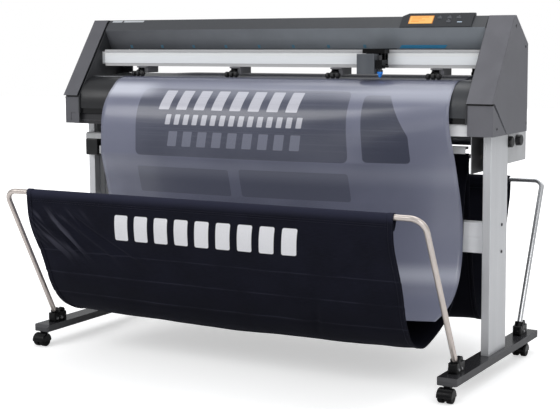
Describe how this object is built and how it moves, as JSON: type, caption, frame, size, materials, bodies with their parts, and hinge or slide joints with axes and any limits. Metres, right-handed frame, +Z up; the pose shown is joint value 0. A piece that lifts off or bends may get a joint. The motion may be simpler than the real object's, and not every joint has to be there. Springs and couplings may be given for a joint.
{
  "type": "vinyl cutting plotter",
  "caption": "Roll-fed vinyl cutter on a castered stand: wide head with carriage, pinch rollers, control panel and film, over a cloth media basket.",
  "frame": {"origin": "on the floor, in the middle of the footprint", "axes": "+X to the operator's right along the machine, +Y from the operator towards the back, +Z up"},
  "size_m": [1.546, 1.008, 1.091],
  "materials": {
    "cover_grey": "fine moulded texture",
    "hood_grey": "fine moulded texture",
    "guide_black": "satin",
    "frame_light": "satin paint",
    "frame_black": "satin paint",
    "foot_grey": "fine texture paint",
    "aluminium": "satin anodised",
    "platen_metal": "satin",
    "steel_pipe": "brushed",
    "shaft_steel": "knurled",
    "screw_steel": "blackened",
    "roller_metal": "satin",
    "basket_cloth": "plain weave",
    "film": "glossy film",
    "panel_dark": "satin",
    "lcd_glass": "lit amber display",
    "belt_rubber": "matte",
    "black_plastic": "satin",
    "pinch_grey": "satin",
    "roller_rubber": "matte",
    "wheel_rubber": "matte",
    "pen_blue": "gloss",
    "key_grey": "satin"
  },
  "bodies": {
    "machine": {"feet": "foot_grey", "columns": "aluminium", "cross_stay": "aluminium", "upper_frame": "frame_light", "fasteners": "screw_steel", "basket_brackets": "black_plastic", "basket_front_pipe": "steel_pipe", "basket_rear_pipe": "steel_pipe", "basket_centre_rod": "steel_pipe", "basket_fabric": "basket_cloth", "main_beam": "frame_light", "side_frames": "frame_black", "left_cover": "cover_grey", "right_cover": "cover_grey", "lower_covers": "cover_grey", "top_cover": "hood_grey", "y_rail": "aluminium", "platen": "platen_metal", "front_guide": "guide_black", "media_sheet": "film", "control_panel": "panel_dark", "lcd_window": "lcd_glass", "drive_motors": "frame_black", "drive_belts": "belt_rubber"},
    "carriage": {"carriage_frame": "black_plastic", "carriage_cover": "cover_grey"},
    "tool": {"tool_holder": "black_plastic", "cutter_pen": "pen_blue"},
    "set_lever": {"set_lever": "black_plastic"},
    "feed_shaft": {"grit_shaft": "shaft_steel", "feed_pulley": "black_plastic"},
    "pinch_carrier_1": {"pinch_carrier_1": "pinch_grey"},
    "pinch_arm_1": {"pinch_arm_1": "black_plastic"},
    "pinch_roller_1": {"pinch_roller_1": "roller_rubber"},
    "pinch_carrier_2": {"pinch_carrier_2": "pinch_grey"},
    "pinch_arm_2": {"pinch_arm_2": "black_plastic"},
    "pinch_roller_2": {"pinch_roller_2": "roller_rubber"},
    "pinch_carrier_3": {"pinch_carrier_3": "pinch_grey"},
    "pinch_arm_3": {"pinch_arm_3": "black_plastic"},
    "pinch_roller_3": {"pinch_roller_3": "roller_rubber"},
    "pinch_carrier_4": {"pinch_carrier_4": "pinch_grey"},
    "pinch_arm_4": {"pinch_arm_4": "black_plastic"},
    "pinch_roller_4": {"pinch_roller_4": "roller_rubber"},
    "scan_pulley": {"scan_pulley": "shaft_steel"},
    "scan_idler": {"scan_idler": "shaft_steel"},
    "stock_roller_front": {"stock_roller_front": "roller_metal"},
    "stock_roller_rear": {"stock_roller_rear": "roller_metal"},
    "power_switch": {"power_switch": "black_plastic"},
    "key_menu": {"key_menu": "key_grey"},
    "key_up": {"key_up": "key_grey"},
    "key_down": {"key_down": "key_grey"},
    "key_enter": {"key_enter": "key_grey"},
    "caster_front_left": {"caster_hood_front_left": "black_plastic"},
    "caster_wheels_front_left": {"caster_wheels_front_left": "wheel_rubber"},
    "caster_front_right": {"caster_hood_front_right": "black_plastic"},
    "caster_wheels_front_right": {"caster_wheels_front_right": "wheel_rubber"},
    "caster_rear_left": {"caster_hood_rear_left": "black_plastic"},
    "caster_wheels_rear_left": {"caster_wheels_rear_left": "wheel_rubber"},
    "caster_rear_right": {"caster_hood_rear_right": "black_plastic"},
    "caster_wheels_rear_right": {"caster_wheels_rear_right": "wheel_rubber"}
  },
  "joints": [
    {"name": "carriage_slide", "type": "slide", "parent": "machine", "child": "carriage", "axis": [1, 0, 0], "range_m": [-0.983, 0.267]},
    {"name": "tool_lift", "type": "slide", "parent": "carriage", "child": "tool", "axis": [0, 0, 1], "range_m": [-0.0022, 0]},
    {"name": "set_lever_turn", "type": "hinge", "parent": "machine", "child": "set_lever", "pos_m": [0.6, 0.1775, 0.97], "axis": [0, 1, 0], "range_deg": [0, 60]},
    {"name": "feed_spin", "type": "hinge", "parent": "machine", "child": "feed_shaft", "pos_m": [0, -0.0165, 0.8809], "axis": [1, 0, 0], "continuous": true},
    {"name": "pinch_slide_1", "type": "slide", "parent": "machine", "child": "pinch_carrier_1", "axis": [1, 0, 0], "range_m": [-0.1, 0.1]},
    {"name": "pinch_lift_1", "type": "hinge", "parent": "pinch_carrier_1", "child": "pinch_arm_1", "pos_m": [-0.537, 0.0215, 0.911], "axis": [-1, 0, 0], "range_deg": [0, 8]},
    {"name": "pinch_spin_1", "type": "hinge", "parent": "pinch_arm_1", "child": "pinch_roller_1", "pos_m": [-0.537, -0.0165, 0.9002], "axis": [1, 0, 0], "continuous": true},
    {"name": "pinch_slide_2", "type": "slide", "parent": "machine", "child": "pinch_carrier_2", "axis": [1, 0, 0], "range_m": [-0.1, 0.1]},
    {"name": "pinch_lift_2", "type": "hinge", "parent": "pinch_carrier_2", "child": "pinch_arm_2", "pos_m": [-0.165, 0.0215, 0.911], "axis": [-1, 0, 0], "range_deg": [0, 8]},
    {"name": "pinch_spin_2", "type": "hinge", "parent": "pinch_arm_2", "child": "pinch_roller_2", "pos_m": [-0.165, -0.0165, 0.9002], "axis": [1, 0, 0], "continuous": true},
    {"name": "pinch_slide_3", "type": "slide", "parent": "machine", "child": "pinch_carrier_3", "axis": [1, 0, 0], "range_m": [-0.1, 0.1]},
    {"name": "pinch_lift_3", "type": "hinge", "parent": "pinch_carrier_3", "child": "pinch_arm_3", "pos_m": [0.206, 0.0215, 0.911], "axis": [-1, 0, 0], "range_deg": [0, 8]},
    {"name": "pinch_spin_3", "type": "hinge", "parent": "pinch_arm_3", "child": "pinch_roller_3", "pos_m": [0.206, -0.0165, 0.9002], "axis": [1, 0, 0], "continuous": true},
    {"name": "pinch_slide_4", "type": "slide", "parent": "machine", "child": "pinch_carrier_4", "axis": [1, 0, 0], "range_m": [-0.1, 0.1]},
    {"name": "pinch_lift_4", "type": "hinge", "parent": "pinch_carrier_4", "child": "pinch_arm_4", "pos_m": [0.545, 0.0215, 0.911], "axis": [-1, 0, 0], "range_deg": [0, 8]},
    {"name": "pinch_spin_4", "type": "hinge", "parent": "pinch_arm_4", "child": "pinch_roller_4", "pos_m": [0.545, -0.0165, 0.9002], "axis": [1, 0, 0], "continuous": true},
    {"name": "scan_pulley_spin", "type": "hinge", "parent": "machine", "child": "scan_pulley", "pos_m": [0.668, 0.0715, 0.96], "axis": [0, 0, 1], "continuous": true},
    {"name": "scan_idler_spin", "type": "hinge", "parent": "machine", "child": "scan_idler", "pos_m": [-0.68, 0.0715, 0.96], "axis": [0, 0, 1], "continuous": true},
    {"name": "stock_roller_front_spin", "type": "hinge", "parent": "machine", "child": "stock_roller_front", "pos_m": [0, 0.124, 0.701], "axis": [1, 0, 0], "continuous": true},
    {"name": "stock_roller_rear_spin", "type": "hinge", "parent": "machine", "child": "stock_roller_rear", "pos_m": [0, 0.2055, 0.701], "axis": [1, 0, 0], "continuous": true},
    {"name": "power_switch_rock", "type": "hinge", "parent": "machine", "child": "power_switch", "pos_m": [0.73, 0.176, 0.8], "axis": [1, 0, 0], "range_deg": [-6, 6]},
    {"name": "key_menu_press", "type": "slide", "parent": "machine", "child": "key_menu", "axis": [0, 0.769, -0.6393], "range_m": [0, 0.0008], "stiffness_N_per_m": 100},
    {"name": "key_up_press", "type": "slide", "parent": "machine", "child": "key_up", "axis": [0, 0.769, -0.6393], "range_m": [0, 0.0008], "stiffness_N_per_m": 100},
    {"name": "key_down_press", "type": "slide", "parent": "machine", "child": "key_down", "axis": [0, 0.769, -0.6393], "range_m": [0, 0.0008], "stiffness_N_per_m": 100},
    {"name": "key_enter_press", "type": "slide", "parent": "machine", "child": "key_enter", "axis": [0, 0.769, -0.6393], "range_m": [0, 0.0008], "stiffness_N_per_m": 100},
    {"name": "swivel_front_left", "type": "hinge", "parent": "machine", "child": "caster_front_left", "pos_m": [-0.7235, -0.3175, 0.047], "axis": [0, 0, 1], "continuous": true},
    {"name": "wheel_spin_front_left", "type": "hinge", "parent": "caster_front_left", "child": "caster_wheels_front_left", "pos_m": [-0.7235, -0.3315, 0.02], "axis": [1, 0, 0], "continuous": true},
    {"name": "swivel_front_right", "type": "hinge", "parent": "machine", "child": "caster_front_right", "pos_m": [0.7235, -0.3175, 0.047], "axis": [0, 0, 1], "continuous": true},
    {"name": "wheel_spin_front_right", "type": "hinge", "parent": "caster_front_right", "child": "caster_wheels_front_right", "pos_m": [0.7235, -0.3315, 0.02], "axis": [1, 0, 0], "continuous": true},
    {"name": "swivel_rear_left", "type": "hinge", "parent": "machine", "child": "caster_rear_left", "pos_m": [-0.7235, 0.3055, 0.047], "axis": [0, 0, 1], "continuous": true},
    {"name": "wheel_spin_rear_left", "type": "hinge", "parent": "caster_rear_left", "child": "caster_wheels_rear_left", "pos_m": [-0.7235, 0.2915, 0.02], "axis": [1, 0, 0], "continuous": true},
    {"name": "swivel_rear_right", "type": "hinge", "parent": "machine", "child": "caster_rear_right", "pos_m": [0.7235, 0.3055, 0.047], "axis": [0, 0, 1], "continuous": true},
    {"name": "wheel_spin_rear_right", "type": "hinge", "parent": "caster_rear_right", "child": "caster_wheels_rear_right", "pos_m": [0.7235, 0.2915, 0.02], "axis": [1, 0, 0], "continuous": true}
  ],
  "couplings": [
    {"joint": "pinch_lift_1", "follows": "set_lever_turn", "ratio": 0.13333},
    {"joint": "pinch_spin_1", "follows": "feed_spin", "ratio": -1},
    {"joint": "pinch_lift_2", "follows": "set_lever_turn", "ratio": 0.13333},
    {"joint": "pinch_spin_2", "follows": "feed_spin", "ratio": -1},
    {"joint": "pinch_lift_3", "follows": "set_lever_turn", "ratio": 0.13333},
    {"joint": "pinch_spin_3", "follows": "feed_spin", "ratio": -1},
    {"joint": "pinch_lift_4", "follows": "set_lever_turn", "ratio": 0.13333},
    {"joint": "pinch_spin_4", "follows": "feed_spin", "ratio": -1},
    {"joint": "scan_pulley_spin", "follows": "carriage_slide", "rad_per_m": 100},
    {"joint": "scan_idler_spin", "follows": "carriage_slide", "rad_per_m": 100}
  ]
}
